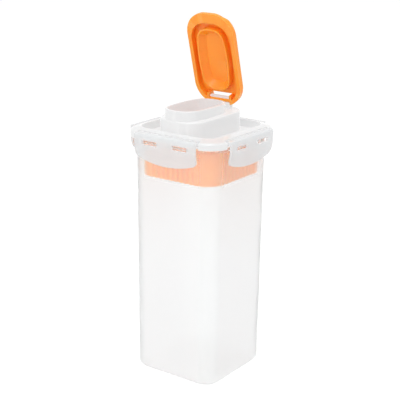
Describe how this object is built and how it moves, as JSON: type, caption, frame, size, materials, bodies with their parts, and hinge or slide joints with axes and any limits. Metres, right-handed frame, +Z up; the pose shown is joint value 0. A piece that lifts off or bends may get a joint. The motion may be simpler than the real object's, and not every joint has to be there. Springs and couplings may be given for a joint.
{
  "type": "dog food storage container",
  "caption": "Tall square storage container with a clip-on pour-spout lid, hinged side latches, a flip cap and a measuring cup hung in its mouth.",
  "frame": {"origin": "centre of the base, on the surface it stands on", "axes": "+Z up along the height; the spout pours and the cap's tip points to -Y when closed; the cap's hinge is on the +Y side, along X"},
  "size_m": [0.1184, 0.1184, 0.353],
  "materials": {
    "clear_body": "clear, smooth",
    "clear_lid": "milky, smooth",
    "clear_latch": "milky, smooth",
    "seal": "soft, matte",
    "orange_cap": "satin",
    "orange_cup": "satin"
  },
  "bodies": {
    "container_body": {"container": "clear_body"},
    "lid_body": {"lid": "clear_lid", "lid_gasket": "seal"},
    "cap_body": {"flip_cap": "orange_cap"},
    "latch_front_body": {"latch_front": "clear_latch"},
    "latch_right_body": {"latch_right": "clear_latch"},
    "latch_back_body": {"latch_back": "clear_latch"},
    "latch_left_body": {"latch_left": "clear_latch"},
    "cup_body": {"measuring_cup": "orange_cup"}
  },
  "joints": [
    {"name": "lid_lift", "type": "slide", "parent": "container_body", "child": "lid_body", "axis": [0, 0, 1], "range_m": [0, 0.12]},
    {"name": "cup_lift", "type": "slide", "parent": "container_body", "child": "cup_body", "axis": [0, 0, 1], "range_m": [0, 0.054]},
    {"name": "cap_hinge", "type": "hinge", "parent": "lid_body", "child": "cap_body", "pos_m": [0, 0.032, 0.267], "axis": [-1, 0, 0], "range_deg": [-74.5, 30]},
    {"name": "latch_front_hinge", "type": "hinge", "parent": "lid_body", "child": "latch_front_body", "pos_m": [0, -0.0534, 0.243], "axis": [-1, 0, 0], "range_deg": [0, 90]},
    {"name": "latch_right_hinge", "type": "hinge", "parent": "lid_body", "child": "latch_right_body", "pos_m": [0.0534, 0, 0.243], "axis": [0, -1, 0], "range_deg": [0, 90]},
    {"name": "latch_back_hinge", "type": "hinge", "parent": "lid_body", "child": "latch_back_body", "pos_m": [0, 0.0534, 0.243], "axis": [1, 0, 0], "range_deg": [0, 90]},
    {"name": "latch_left_hinge", "type": "hinge", "parent": "lid_body", "child": "latch_left_body", "pos_m": [-0.0534, 0, 0.243], "axis": [0, 1, 0], "range_deg": [0, 90]}
  ],
  "couplings": [
    {"joint": "cup_lift", "follows": "lid_lift", "ratio": 0.45}
  ]
}
